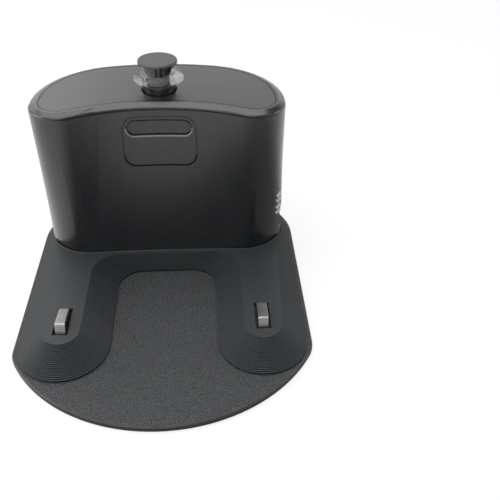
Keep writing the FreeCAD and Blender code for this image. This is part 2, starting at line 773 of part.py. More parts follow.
def contact(side, label):
    """A folded strip on its carrier, pushed up through the slot by a coil spring."""
    front = size.slot_front + size.strip_end_gap
    back = size.slot_back - size.strip_end_gap
    crest = size.plateau + size.strip_rise
    thick = size.strip_thickness
    ledge = size.carrier_top
    strip = new_body(f"Strip_{label}", x=f"({side}) * arm_centre")
    fold = front + size.strip_nose
    outside = [Vector(back, ledge, 0), Vector(back, size.plateau, 0), Vector(fold, crest, 0),
               Vector(front, ledge, 0)]
    inside = [Vector(front + thick, ledge, 0),
              Vector(fold + size.strip_fold_back, crest - size.strip_fold_drop, 0),
              Vector(back - thick, size.plateau - thick, 0), Vector(back - thick, ledge, 0)]
    pad(strip, sketch(strip, "YZ_Plane", loop(outside + inside)), "strip_width", middle=True)
    node(strip, f"contact_{label}")

    x = side * size.arm_centre
    core = Part.Face(Part.makePolygon([Vector(x, p.x, p.y) for p in inside + inside[:1]]))
    core = core.extrude(Vector(size.strip_width, 0, 0))
    core.translate(Vector(-size.strip_width / 2, 0, 0))
    length = size.slot_back - size.slot_front + 2 * size.carrier_lip
    width = size.slot_width + 2 * size.carrier_lip
    flange = Part.makeBox(width, length, size.carrier_flange,
                          Vector(x - width / 2, size.slot_middle - length / 2, ledge - size.carrier_flange))
    stem_low = size.plate_top + size.contact_travel + size.carrier_gap
    stem = Part.makeCylinder(size.stem_radius, ledge - stem_low, Vector(x, size.slot_middle, stem_low))
    node(feature(f"Carrier_{label}", core.fuse([flange, stem]).removeSplitter()), f"contact_carrier_{label}")

    spring_low = size.plate_top
    spring_high = ledge - size.carrier_flange
    coil = coil_spring(spring_low, spring_high)
    coil.translate(Vector(x, size.slot_middle, 0))
    node(feature(f"Spring_{label}", coil), f"contact_spring_{label}")


def screws(name, label, heads, direction, reach, radius, head):
    """One group of equal pan-head screws; each is placed by the underside of its head."""
    pieces = []
    for place in heads:
        shank = Part.makeCylinder(radius, reach, place, direction)
        cap = Part.makeCylinder(head, size.screw_head, place - direction * size.screw_head, direction)
        pieces.append(shank.fuse(cap).removeSplitter())
    return node(feature(name, Part.makeCompound(pieces)), label)


def fasteners():
    """Screws up through the plate, and the small ones that hold the boards."""
    def at(points, z):
        return [Vector(p.x, p.y, z) for p in points]

    up = Vector(0, 0, 1)
    seat = size.plate_bottom + size.screw_head
    grip, head = size.screw_radius, size.screw_head_radius
    long_reach = size.boss_height - size.screw_head
    screws("Tower_screws", "tower_screws", at(tower_bosses, seat), up, long_reach, grip, head)
    screws("Cover_screws", "cover_screws", at(cover_bosses, seat), up, size.slope_rise / 2, grip, head)
    grip, head = size.small_screw_radius, 2 * size.small_screw_radius
    reach = size.board_thickness + size.board_rise / 2
    screws("Board_screws", "board_screws", at(board_posts, size.board_top), -up, reach, grip, head)
    under = at(beacon_posts, size.beacon_board_low)
    screws("Beacon_screws", "beacon_screws", under, up, reach, grip, head)
    behind = [Vector(p.x, size.window_board_front + size.board_thickness, p.z) for p in window_posts]
    screws("Window_screws", "window_screws", behind, Vector(0, -1, 0), reach, grip, head)


def rubber_feet():
    """Round pads in the plate's recesses; the dock stands on them."""
    pieces = []
    for index, place in enumerate(pads):
        foot = primitive("Cylinder", f"Foot_{index}", Radius="pad_radius", Height="plate_bottom + pad_sink")
        foot.Placement.Base = place
        pieces.append(foot)
    node(group("Feet", pieces), "rubber_feet")


def drills(name, axis, places):
    """Clearance holes for a board's screws, longer than the board is thick."""
    return [primitive("Cylinder", f"{name}_drill_{index}", axis, Radius="drill_radius",
                      Height="3 * board_thickness", **place) for index, place in enumerate(places)]


def power_supply():
    """Board on the plate's posts, with the parts that stand on it and the ballast below it."""
    deck = primitive("Box", "Deck", Length="2 * board_half_width", Width="board_depth",
                     Height="board_thickness", x="-board_half_width", y="board_front", z="board_low")
    corners = [(f"({side}) * board_post_x", y) for side in (1, -1)
               for y in ("board_front + post_inset", "board_back - post_inset")]
    holes = drills("Deck", Vector(0, 0, 1),
                   [dict(x=x, y=y, z="board_low - board_thickness") for x, y in corners])
    node(cut("Power_board", deck, holes), "power_board")

    yoke = primitive("Box", "Yoke", Length="transformer_size", Width="yoke_depth",
                     Height="transformer_height", x="-transformer_size / 2",
                     y="board_middle - yoke_depth / 2", z="board_top")
    bobbin = primitive("Box", "Bobbin", Length="bobbin_width", Width="transformer_size",
                       Height="bobbin_height", x="-bobbin_width / 2",
                       y="board_middle - transformer_size / 2",
                       z="board_top + (transformer_height - bobbin_height) / 2")
    node(fuse("Transformer", [yoke, bobbin]), "transformer")

    cans = [primitive("Cylinder", f"Can_{index}", Radius="capacitor_radius", Height="capacitor_height",
                      x="-transformer_size / 2 - capacitor_side_gap - capacitor_radius",
                      y=f"board_middle + ({side}) * (capacitor_radius + capacitor_pair_gap)", z="board_top")
            for index, side in enumerate((1, -1))]
    node(group("Cans", cans), "capacitors")

    ring = primitive("Torus", "Choke", Radius1="choke_radius", Radius2="choke_wire",
                     x="transformer_size / 2 + 2 * choke_radius", y="board_middle - choke_wire",
                     z="board_top + choke_wire")
    node(ring, "line_choke")

    fins = [primitive("Box", f"Fin_{index}", Length="board_thickness", Width="fin_depth",
                      Height="sink_height", y="board_back - fin_depth", z="board_top",
                      x=f"transformer_size / 2 + {index} * (sink_width - board_thickness) / (fin_count - 1)")
            for index in range(int(size.fin_count))]
    web = primitive("Box", "Web", Length="sink_width", Width="board_thickness", Height="sink_height",
                    x="transformer_size / 2", y="board_back - board_thickness", z="board_top")
    node(fuse("Sink", fins + [web]), "heat_sink")

    slab = primitive("Box", "Slab", Length="2 * board_half_width", Width="board_depth",
                     Height="ballast_thickness", x="-board_half_width", y="board_front", z="plate_top")
    clear = [primitive("Cylinder", f"Clear_{index}", Radius="post_radius + screw_gap",
                       Height="3 * ballast_thickness", x=x, y=y, z="plate_top - ballast_thickness")
             for index, (x, y) in enumerate(corners)]
    node(cut("Ballast", slab, clear), "ballast_plate")


def emitter(name, axis, **place):
    """A round-nosed light emitter standing on a board."""
    stem = primitive("Cylinder", f"{name}_stem", axis, Radius="led_radius", Height="led_length", **place)
    far = dict(place)
    step = "z" if axis.z else "y"
    far[step] = f"{place[step]} + ({int(axis.z + axis.y)}) * led_length"
    nose = primitive("Sphere", f"{name}_nose", Radius="led_radius", **far)
    return fuse(name, [stem, nose])


def emitter_boards():
    """Upright board behind the window and level board under the beacon, with their emitters."""
    sides = ("window_post_x", "-window_post_x")
    upright = primitive("Box", "Upright", Length="2 * window_board_half_width", Width="board_thickness",
                        Height="2 * window_board_half_height", x="-window_board_half_width",
                        y="window_board_front", z="window_middle - window_board_half_height")
    holes = drills("Upright", Vector(0, 1, 0),
                   [dict(x=x, y="window_board_front - board_thickness", z="window_middle") for x in sides])
    node(cut("Window_board", upright, holes), "window_board")
    bulbs = [emitter(f"Eye_{index}", Vector(0, -1, 0), x=f"({side}) * window_half_width / 2",
                     y="window_board_front", z="window_middle") for index, side in enumerate((1, 0, -1))]
    node(group("Eyes", bulbs), "window_leds")

    level = primitive("Box", "Level", Length="2 * beacon_board_half_width", Width="2 * beacon_hole_radius",
                      Height="board_thickness", x="-beacon_board_half_width",
                      y="beacon_back - beacon_hole_radius", z="beacon_board_low")
    holes = drills("Level", Vector(0, 0, 1),
                   [dict(x=f"({side}) * beacon_post_x", y="beacon_back",
                         z="beacon_board_low - board_thickness") for side in (1, -1)])
    node(cut("Beacon_board", level, holes), "beacon_board")
    node(emitter("Beacon_eye", Vector(0, 0, 1), x="0", y="beacon_back", z="beacon_board_top"), "beacon_led")


outer_tower = tower_block()
base_plate()
base_cover(tower_solid(-size.tower_gap))
tower_shell(outer_tower)
top_lid()
front_window(outer_tower)
beacon()
contact(-1, "left")
contact(1, "right")
mains_inlet()
power_supply()
emitter_boards()
fasteners()
rubber_feet()
doc.recompute()

for obj in doc.Objects:
    if "Invalid" in obj.State or "Error" in obj.State:
        raise RuntimeError(f"{obj.Name} failed: {obj.State}")
for obj in nodes:
    if obj.Shape.isNull() or not obj.Shape.isValid() or not obj.Shape.Solids:
        raise RuntimeError(f"{obj.Label} has no valid solid")

os.makedirs("parts", exist_ok=True)
for obj in nodes:
    obj.Shape.exportStep(f"parts/{obj.Label}.step")
    print(f"{obj.Label}: {len(obj.Shape.Solids)} solids, {obj.Shape.Volume:.0f} mm3")
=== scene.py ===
# %% [markdown]
# # A charging dock for a robot vacuum
# The dock is a black plastic tower on a grained plate, with a ridged ramp and two sprung contacts.
# The solid model already has every piece at its true size and place. This lesson gives those pieces
# their finishes, softens the edges that catch the light, and sets up a camera and a white studio.

# %% Load the solid model
import math

import bmesh
import bpy
from mathutils import Matrix, Vector


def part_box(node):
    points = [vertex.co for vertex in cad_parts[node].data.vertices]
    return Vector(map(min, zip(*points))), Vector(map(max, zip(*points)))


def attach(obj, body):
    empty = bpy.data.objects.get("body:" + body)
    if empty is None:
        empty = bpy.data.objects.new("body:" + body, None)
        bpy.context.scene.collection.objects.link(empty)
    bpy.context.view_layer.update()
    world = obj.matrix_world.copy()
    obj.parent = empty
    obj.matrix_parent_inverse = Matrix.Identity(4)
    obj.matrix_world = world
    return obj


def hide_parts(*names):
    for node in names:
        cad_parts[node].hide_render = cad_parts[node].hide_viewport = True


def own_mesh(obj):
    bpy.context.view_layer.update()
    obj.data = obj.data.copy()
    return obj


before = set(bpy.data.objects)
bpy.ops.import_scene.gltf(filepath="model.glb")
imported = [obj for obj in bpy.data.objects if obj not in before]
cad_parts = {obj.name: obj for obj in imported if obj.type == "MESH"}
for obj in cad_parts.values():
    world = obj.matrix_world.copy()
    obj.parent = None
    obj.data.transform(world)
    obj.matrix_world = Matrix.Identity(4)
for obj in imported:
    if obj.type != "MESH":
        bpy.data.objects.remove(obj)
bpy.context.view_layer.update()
MM = 0.001

# %% [markdown]
# ## The camera
# The photograph looks down on the dock from the front, a little to the right of its middle, from
# close by. The camera's three axes and its place came from fitting a pinhole camera to the dock's own
# corners and curves, so the matrix is written out instead of being aimed by hand.

# %% Place the camera
VIEW_RIGHT = Vector((0.99770, -0.06555, 0.01728))
VIEW_DOWN = Vector((-0.02651, -0.61191, -0.79048))
VIEW_AHEAD = Vector((0.06239, 0.78820, -0.61224))
VIEW_PLACE = Vector((19.499, -227.286, 201.748)) * MM
LENS_MM = 47.298

camera_data = bpy.data.cameras.new("camera")
camera_data.sensor_width = 36
camera_data.lens = LENS_MM
camera_data.clip_start = 0.01
camera = bpy.data.objects.new("camera", camera_data)
bpy.context.scene.collection.objects.link(camera)
turn = Matrix((VIEW_RIGHT, -VIEW_DOWN, -VIEW_AHEAD)).transposed()
camera.matrix_world = Matrix.Translation(VIEW_PLACE) @ turn.to_4x4()
bpy.context.scene.camera = camera
bpy.context.scene.view_settings.view_transform = "Standard"
print("camera", LENS_MM, "mm lens")

# %% [markdown]
# ## Shader maths that reads like Python
# A finish is a small graph of nodes. One class stands for a finish and adds nodes to it. Another stands
# for one output of a node, and its operators add the Math nodes, so `0.4 + 0.2 * grain` is all it takes.

# %% Helpers for finishes
class Wire:
    """One output of a node."""

    def __init__(self, finish, socket):
        self.finish = finish
        self.socket = socket

    def maths(self, operation, *values):
        return self.finish.add("ShaderNodeMath", {"operation": operation}, dict(enumerate(values)))

    def __add__(self, other):
        return self.maths("ADD", self, other)

    def __radd__(self, other):
        return self.maths("ADD", other, self)

    def __sub__(self, other):
        return self.maths("SUBTRACT", self, other)

    def __rsub__(self, other):
        return self.maths("SUBTRACT", other, self)

    def __mul__(self, other):
        return self.maths("MULTIPLY", self, other)

    def __rmul__(self, other):
        return self.maths("MULTIPLY", other, self)


class Graph:
    """The nodes of a material or of the sky, with one shader that they feed."""

    def __init__(self, tree, shader):
        self.tree = tree
        self.surface = tree.nodes[shader]

    def add(self, kind, settings, sockets, out=0):
        """Add a node, make its settings, then fill its sockets with numbers, colours or wires."""
        node = self.tree.nodes.new(kind)
        for name, value in settings.items():
            setattr(node, name, value)
        for name, value in sockets.items():
            if isinstance(value, Wire):
                self.tree.links.new(value.socket, node.inputs[name])
            else:
                node.inputs[name].default_value = value
        return Wire(self, node.outputs[out])

    def feed(self, socket, wire):
        self.tree.links.new(wire.socket, self.surface.inputs[socket])

    def ramp(self, value, low, high):
        """A smooth step from 0 to 1 between two values."""
        return self.add("ShaderNodeMapRange", {"interpolation_type": "SMOOTHSTEP"},
                        {"Value": value, "From Min": low, "From Max": high})

    def ray(self, kind):
        """1 for rays of one kind, and 0 for plain light."""
        return self.add("ShaderNodeLightPath", {}, {}, "Is %s Ray" % kind)

    def mirrored(self):
        """1 for what gloss and glass show of the studio."""
        return self.ramp(self.ray("Glossy") + self.ray("Transmission"), 0.0, 1.0)


class Finish(Graph):
    """A material: one surface shader, and the nodes that vary it over the piece."""

    def __init__(self, name, fixed):
        self.material = bpy.data.materials.new(name)
        self.material.use_nodes = True
        super().__init__(self.material.node_tree, "Principled BSDF")
        for socket, value in fixed.items():
            self.surface.inputs[socket].default_value = value
        self.place = self.add("ShaderNodeTexCoord", {}, {}, "Object")
        self.height = self.add("ShaderNodeSeparateXYZ", {}, {0: self.place}, "Z")

    def noise(self, size, detail=2.0, place=None):
        """Soft noise whose blots are about that size, from 0 to 1."""
        return self.add("ShaderNodeTexNoise", {},
                        {"Vector": place or self.place, "Scale": 1 / size, "Detail": detail}, "Fac")

    def cells(self, size, place):
        """Distances to the borders in a field of cells of about that size."""
        return self.add("ShaderNodeTexVoronoi", {"feature": "DISTANCE_TO_EDGE"},
                        {"Vector": place, "Scale": 1 / size}, "Distance")

    def stretched(self, scale):
        """The piece's own coordinates, drawn out along its axes."""
        return self.add("ShaderNodeMapping", {}, {"Vector": self.place, "Scale": scale})

    def shade(self, mask, low, high):
        """A colour between two others."""
        return self.add("ShaderNodeMix", {"data_type": "RGBA"}, {0: mask, 6: low, 7: high}, 2)

    def bump(self, height, depth):
        """Raise the surface by a height times the depth in metres."""
        relief = self.add("ShaderNodeBump", {},
                          {"Strength": 1.0, "Distance": depth, "Height": height}, "Normal")
        self.feed("Normal", relief)


def grey(level, tint=0.0):
    """A near-neutral colour; tint leans it a little towards blue."""
    return (level, level * (1 + tint / 2), level * (1 + tint), 1)


print("a mid grey is", grey(0.5))

# %% [markdown]
# ## Moulded black plastic
# The tower, lid, ramp and cap are one family: black ABS from a spark-eroded tool, which leaves a fine
# even grain. Each differs in how grey and how smooth it is. The lid and the tower are the same plastic,
# so the lid's lighter grey is painted light on the top, and the tower's darker grey is painted shade on its
# walls. The grain is one fine noise that both lifts the surface and breaks up its gloss, and a broad noise
# stops large faces from looking sprayed on. The tower also has a fine step under its rim, which draws a
# dark line all round.

# %% Plastic finishes
BROAD_BLOT, BROAD_SPREAD = 14 * MM, 0.12
RIM_BEND = 1.25 * MM
STEP_DROP, STEP_HEIGHT, STEP_DEPTH = 0.2 * MM, 1.0 * MM, 0.45 * MM


def moulded_plastic(name, level, roughness, coat=0.0, tint=0.25, grain=0.3 * MM, depth=0.012 * MM,
                    ior=1.58, step=None):
    finish = Finish(name, {"IOR": ior, "Coat Weight": coat, "Coat Roughness": roughness})
    fine = finish.noise(grain)
    broad = finish.noise(BROAD_BLOT, 3.0)
    finish.feed("Base Color", finish.shade(broad, grey(level * (1 - BROAD_SPREAD), tint),
                                           grey(level * (1 + BROAD_SPREAD), tint)))
    finish.feed("Roughness", roughness - 0.08 + 0.1 * fine + 0.06 * broad)
    relief = fine * depth
    if step:
        relief = relief + STEP_DEPTH * finish.ramp(finish.height, step - STEP_HEIGHT, step)
    finish.bump(relief, 1.0)
    return finish


step_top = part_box("tower_shell")[1].z - RIM_BEND - STEP_DROP
# The tower's darker grey is painted shade and the lid's lighter grey is painted light on the top: both are
# one plastic.
tower_satin_shaded = moulded_plastic("tower_satin_shaded", 0.005, 0.27, coat=0.4, tint=0.4, depth=0.006 * MM,
                              step=step_top)
lid_satin_lit = moulded_plastic("lid_satin_lit", 0.012, 0.32, coat=0.35, tint=0.0)
ramp_satin = moulded_plastic("ramp_satin", 0.023, 0.42, ior=1.48)
cap_satin = moulded_plastic("cap_satin", 0.02, 0.36, coat=0.2, tint=0.0)
collar_black = moulded_plastic("collar_black", 0.006, 0.24, depth=0.004 * MM)
carrier_black = moulded_plastic("carrier_black", 0.012, 0.5)
inlet_black = moulded_plastic("inlet_black", 0.02, 0.42)
# Dead black that hardly reflects: painted shadow for the lines at the ramp's foot and under the pane.
shadow_black = moulded_plastic("shadow_black", 0.002, 0.75, depth=0.02 * MM, ior=1.06)
# The blades' light grey is a painted highlight of the light that they catch.
blade_painted_highlight = moulded_plastic("blade_painted_highlight", 0.4, 0.3, coat=0.5, tint=0.0)
# The guide's pale grey is a painted reflection: the grey band of the clear neck.
guide_painted_reflection = moulded_plastic("guide_painted_reflection", 0.19, 0.3, tint=0.0)
# The lip's lighter grey is a painted highlight on the pane's black plastic.
lip_painted_highlight = moulded_plastic("lip_painted_highlight", 0.09, 0.3, coat=0.3, tint=0.0)
pane_black = moulded_plastic("pane_black", 0.012, 0.27, coat=0.2, tint=0.1, depth=0.006 * MM)
print("rim step at", round(step_top / MM, 2), "mm")

# %% [markdown]
# ## Leather grain on the plate
# The plate's upper face is textured like fine leather, so that tyres grip and scuffs don't show. Cells
# pulled out of shape by a noise give the pebbles, and the creases between them are duller, and darker with
# painted shade.
# The grain stops at the plate's rounded edge, which is smooth like the rest of the mouldings.

# %% Grained plate
PLATE_TOP, GRAIN_START, GRAIN_END = 2.6 * MM, 0.12 * MM, 0.02 * MM
PEBBLE, PEBBLE_SHIFT, PEBBLE_DEPTH = 0.85 * MM, 0.7 * MM, 0.14 * MM


def grained_plate():
    finish = Finish("grained_plate", {"IOR": 1.6})
    top = finish.ramp(finish.height, PLATE_TOP - GRAIN_START, PLATE_TOP - GRAIN_END)
    wander = finish.add("ShaderNodeTexNoise", {},
                        {"Vector": finish.place, "Scale": 1 / (1.0 * MM), "Detail": 3.0}, "Color")
    shift = finish.add("ShaderNodeVectorMath", {"operation": "SCALE"}, {0: wander, "Scale": PEBBLE_SHIFT})
    bent = finish.add("ShaderNodeVectorMath", {"operation": "ADD"}, {0: finish.place, 1: shift})
    pebble = finish.ramp(finish.cells(PEBBLE, bent), 0.0, 0.34)
    broad = finish.noise(20 * MM, 3.0)
    speck = finish.noise(0.25 * MM)
    # The creases' darker colour is painted shade; the broad noise varies the tone at random.
    leather_and_crease_shade = finish.shade(pebble * (0.7 + 0.3 * broad), grey(0.011, 0.2), grey(0.056, 0.2))
    finish.feed("Base Color", finish.shade(top, grey(0.02, 0.1), leather_and_crease_shade))
    finish.feed("Roughness", 0.34 + top * (0.26 - 0.14 * pebble) + 0.1 * speck)
    finish.bump(top * pebble + 0.2 * speck, PEBBLE_DEPTH)
    return finish


plate_grain = grained_plate()
print("pebbles of", round(PEBBLE / MM, 2), "mm")

# %% [markdown]
# ## Metals, clear plastic and the pieces inside
# The contacts are nickel plate, drawn along their length, so their noise is stretched that way. The
# beacon's bowl is clear polycarbonate. Boards, cans, copper and rubber are hidden in the housing or under
# it, and get simpler finishes of the same kind.

# %% Other finishes
def drawn_metal(name, colour, roughness, stretch, tarnish=0.75):
    finish = Finish(name, {"Metallic": 1.0})
    lines = finish.noise(0.12 * MM, 3.0, finish.stretched(stretch))
    stain = finish.noise(3 * MM, 3.0)
    dull = tuple(c * tarnish for c in colour[:3]) + (1,)
    finish.feed("Base Color", finish.shade(stain, dull, colour))
    finish.feed("Roughness", roughness + 0.16 * lines + 0.08 * stain)
    finish.bump(lines, 0.006 * MM)
    return finish


nickel = drawn_metal("nickel", (0.42, 0.43, 0.43, 1), 0.26, (1, 0.06, 0.06), 0.55)
# A bright copy of the reflector's dark metal: painted glints on one side of each flute.
reflector_painted_glint = drawn_metal("reflector_painted_glint", (0.6, 0.61, 0.62, 1), 0.3, (1, 1, 1))
mirror_dark = drawn_metal("mirror_dark", (0.03, 0.033, 0.038, 1), 0.12, (1, 1, 1))
zinc = drawn_metal("zinc", (0.42, 0.43, 0.45, 1), 0.3, (1, 1, 1))
spring_steel = drawn_metal("spring_steel", (0.5, 0.5, 0.5, 1), 0.25, (1, 1, 0.2))
brass_pin = drawn_metal("brass_pin", (0.72, 0.62, 0.38, 1), 0.22, (0.06, 1, 1))
copper_wire = drawn_metal("copper_wire", (0.65, 0.3, 0.12, 1), 0.3, (1, 1, 0.3))
fin_metal = drawn_metal("fin_metal", (0.6, 0.6, 0.62, 1), 0.35, (1, 1, 0.1))
ballast_steel = drawn_metal("ballast_steel", (0.4, 0.4, 0.42, 1), 0.4, (0.1, 1, 1))


def two_tone(name, low, high, size, roughness, depth):
    """A finish that wanders between two colours, with a matching relief."""
    finish = Finish(name, {})
    blots = finish.noise(size, 3.0)
    finish.feed("Base Color", finish.shade(blots, low, high))
    finish.feed("Roughness", roughness - 0.06 + 0.12 * blots)
    finish.bump(blots, depth)
    return finish


board_green = two_tone("board_green", (0.02, 0.12, 0.05, 1), (0.04, 0.2, 0.09, 1), 1.2 * MM, 0.4,
                       0.02 * MM)
ferrite_grey = two_tone("ferrite_grey", grey(0.05), grey(0.1), 0.4 * MM, 0.7, 0.05 * MM)
can_sleeve = two_tone("can_sleeve", (0.02, 0.03, 0.07, 1), (0.03, 0.05, 0.11, 1), 4 * MM, 0.3, 0.01 * MM)
foot_rubber = two_tone("foot_rubber", grey(0.012), grey(0.024), 0.3 * MM, 0.85, 0.03 * MM)
emitter_tint = two_tone("emitter_tint", (0.03, 0.015, 0.05, 1), (0.05, 0.03, 0.08, 1), 2 * MM, 0.12,
                        0.004 * MM)


def clear_plastic():
    finish = Finish("clear_plastic", {"Transmission Weight": 1.0, "IOR": 1.45, "Alpha": 0.34})
    haze = finish.noise(2.5 * MM, 2.0)
    finish.feed("Base Color", finish.shade(haze, (0.3, 0.31, 0.32, 1), (0.44, 0.45, 0.46, 1)))
    finish.feed("Roughness", 0.02 + 0.05 * haze)
    return finish


lens_clear = clear_plastic()
print(len(bpy.data.materials), "materials so far")

# %% [markdown]
# ## Dressing the solid pieces
# Each finish is listed with the solid pieces that wear it, so that every piece gets one. The pieces that
# are reshaped below are dressed here too, and their copies get their finish again.

# %% Dress the solid pieces
DRESS = {
    tower_satin_shaded: ["tower_shell"],
    lid_satin_lit: ["top_plate"],
    ramp_satin: ["base_cover"],
    plate_grain: ["base_plate"],
    pane_black: ["front_window"],
    collar_black: ["beacon_collar"],
    cap_satin: ["beacon_cap"],
    lens_clear: ["beacon_lens"],
    nickel: ["contact_left", "contact_right"],
    carrier_black: ["contact_carrier_left", "contact_carrier_right"],
    spring_steel: ["contact_spring_left", "contact_spring_right"],
    inlet_black: ["mains_inlet"],
    brass_pin: ["inlet_pins"],
    board_green: ["power_board", "window_board", "beacon_board"],
    ferrite_grey: ["transformer"],
    can_sleeve: ["capacitors"],
    copper_wire: ["line_choke"],
    fin_metal: ["heat_sink"],
    ballast_steel: ["ballast_plate"],
    emitter_tint: ["window_leds", "beacon_led"],
    zinc: ["tower_screws", "cover_screws", "board_screws", "beacon_screws", "window_screws"],
    foot_rubber: ["rubber_feet"],
}
for finish, names in DRESS.items():
    for name in names:
        for material_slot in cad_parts[name].material_slots:
            material_slot.material = finish.material
print(sum(len(names) for names in DRESS.values()), "solid pieces dressed")

# %% [markdown]
# ## Softened edges
# No moulding has razor edges. A copy of a solid piece is merged into one skin, its flat faces are
# dissolved back into whole ones, and chosen edges are bevelled. The copy then stands for the solid piece.

# %% Helpers for reshaping a copy
MERGE_GAP, FLAT_ANGLE = 0.001 * MM, math.radians(0.4)
CORNER_ANGLE, FRONT_FACING = math.radians(40), -0.7
SMOOTH_ANGLE, BEAD_SMOOTH_ANGLE = math.radians(32), math.radians(50)


def start_copy(node, name):
    """A merged copy of a solid piece, left in edit mode with nothing selected."""
    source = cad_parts[node]
    piece = bpy.data.objects.new(name, source.data.copy())
    bpy.context.scene.collection.objects.link(piece)
    bpy.ops.object.select_all(action="DESELECT")
    piece.select_set(True)
    bpy.context.view_layer.objects.active = piece
    bpy.ops.mesh.customdata_custom_splitnormals_clear()
    bpy.ops.object.mode_set(mode="EDIT")
    bpy.ops.mesh.select_mode(type="EDGE")
    bpy.ops.mesh.select_all(action="SELECT")
    bpy.ops.mesh.remove_doubles(threshold=MERGE_GAP)
    bpy.ops.mesh.dissolve_limited(angle_limit=FLAT_ANGLE)
    bpy.ops.mesh.select_all(action="DESELECT")
    return piece


def select_edges(piece, wanted):
    """Select the outward corners of a piece in edit mode that pass a test, with their middle in mm."""
    skin = bmesh.from_edit_mesh(piece.data)
    count = 0
    for edge in skin.edges:
        if len(edge.link_faces) == 2 and edge.calc_face_angle_signed() > CORNER_ANGLE:
            middle = (edge.verts[0].co + edge.verts[1].co) / (2 * MM)
            edge.select = bool(wanted(middle, edge))
            count += edge.select
    bmesh.update_edit_mesh(piece.data)
    return count


def edge_faces_front(edge):
    """Whether one of the faces beside an edge looks to the front."""
    return any(face.normal.y < FRONT_FACING for face in edge.link_faces)


def round_off(offset, segments):
    """Round the chosen edges of the piece in edit mode; the offset is in mm."""
    bpy.ops.mesh.bevel(offset=offset * MM, segments=segments, profile=0.5, affect="EDGES",
                       clamp_overlap=True)


def copy_off(piece, wanted):
    """Copy chosen corners of a piece in edit mode off into a line of their own."""
    count = select_edges(piece, wanted)
    bpy.ops.mesh.duplicate()
    bpy.ops.mesh.separate(type="SELECTED")
    line = [other for other in bpy.context.selected_objects if other is not piece][0]
    line.select_set(False)
    bpy.ops.mesh.select_all(action="DESELECT")
    print(count, "edges copied off")
    return line


def draw_bead(line, name, radius, finish, spread=None):
    """Give a line a round section; spread is a scale about a centre."""
    bpy.ops.object.select_all(action="DESELECT")
    line.name = name
    line.select_set(True)
    bpy.context.view_layer.objects.active = line
    if spread:
        scale, centre = spread
        bpy.ops.transform.resize(value=(scale, scale, 1), center_override=centre)
        bpy.ops.object.transform_apply(location=True, rotation=True, scale=True)
    bpy.ops.object.convert(target="CURVE")
    line.data.bevel_depth = radius
    line.data.bevel_resolution = 2
    line.data.use_fill_caps = True
    bpy.ops.object.convert(target="MESH")
    bpy.ops.object.shade_smooth_by_angle(angle=BEAD_SMOOTH_ANGLE)
    line.data.materials.clear()
    line.data.materials.append(finish.material)
    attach(line, "dock")
    print(name, len(line.data.polygons), "faces")


def end_copy(piece, node, finish, body):
    """Leave edit mode, smooth the skin and let the copy stand for the solid piece."""
    bpy.ops.object.mode_set(mode="OBJECT")
    bpy.ops.object.shade_smooth_by_angle(angle=SMOOTH_ANGLE)
    even = piece.modifiers.new("even", "WEIGHTED_NORMAL")
    even.keep_sharp = True
    bpy.ops.object.modifier_apply(modifier=even.name)
    piece.data.materials.clear()
    piece.data.materials.append(finish.material)
    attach(piece, body)
    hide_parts(node)
    print(piece.name, len(piece.data.polygons), "faces")


print("corners sharper than", round(math.degrees(CORNER_ANGLE)), "degrees can be rounded")

# %% [markdown]
# ## The ridged ramp
# The ramp is a flight of fine steps that follow its plan. Rounding the upper edge of each step gives each
# ridge its own thin highlight. A fine bead runs along the seam where the tower comes through, and shows as
# one bright hairline: the seam's own edges are copied off, turned into a curve and given a round section.
# The same is done in dead black along the foot: a painted shadow line where the ramp meets the plate.

# %% Round the ridges
RIDGE_ROUND, RIDGE_START, LEVEL_GAP, SEAM_REACH = 0.18, 0.7, 0.05, 0.4
cover_foot, plateau = (corner.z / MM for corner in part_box("base_cover"))
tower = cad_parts["tower_shell"]
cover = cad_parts["base_cover"]


def on_seam(middle, edge):
    """Whether an edge is on the top of the ramp, close to the tower."""
    found, spot = tower.closest_point_on_mesh(middle * MM)[:2]
    return found and middle.z > plateau - LEVEL_GAP and (spot / MM - middle).length < SEAM_REACH


def on_foot(middle, edge):
    """Whether an edge is on the outside of the ramp's foot: nothing of the ramp is above its outside."""
    sides = [face.normal for face in edge.link_faces if abs(face.normal.z) < 0.5]
    if middle.z > cover_foot + LEVEL_GAP or not sides:
        return False
    return not cover.ray_cast((middle + sides[0]) * MM, Vector((0, 0, 1)))[0]


ramp = start_copy("base_cover", "ramp_cover")
seam = copy_off(ramp, on_seam)
foot = copy_off(ramp, on_foot)
ridges = select_edges(ramp, lambda middle, edge: middle.z > cover_foot + RIDGE_START)
round_off(RIDGE_ROUND, 2)
end_copy(ramp, "base_cover", ramp_satin, "dock")
print(ridges, "ridge edges rounded")

# %% [markdown]
# ## The seam and the foot's shadow line
# The seam's bead is spread a little about the tower's middle, so that it lies on the ramp. The foot's
# black bead, a painted shadow line, is drawn in a little, so that it stays inside the foot.

# %% Draw the seam and the foot's painted shadow line
SEAM_RADIUS, SEAM_SPREAD = 0.3 * MM, (1.009, (0, 0.045, 0))
FOOT_SHADOW_RADIUS, FOOT_SHADOW_SPREAD = 0.45 * MM, (0.998, (0, 0, 0))
draw_bead(seam, "seam_bead", SEAM_RADIUS, ramp_satin, SEAM_SPREAD)
draw_bead(foot, "foot_shadow_line", FOOT_SHADOW_RADIUS, shadow_black, FOOT_SHADOW_SPREAD)

# %% [markdown]
# ## The window
# The pane lies flush in the tower's front, with a shadow gap round it and a finger-wide dip along its
# top. The dip's lower lip is rounded, and a deep line runs above it. The lip is a bead on the lower half
# of the dip's edge, in a lighter grey than the pane: a painted highlight where it catches the overhead
# light. The line is a strip of the dip's floor pushed in. A dead black bead along the pane's lower edge is
# a painted shadow in the gap there.

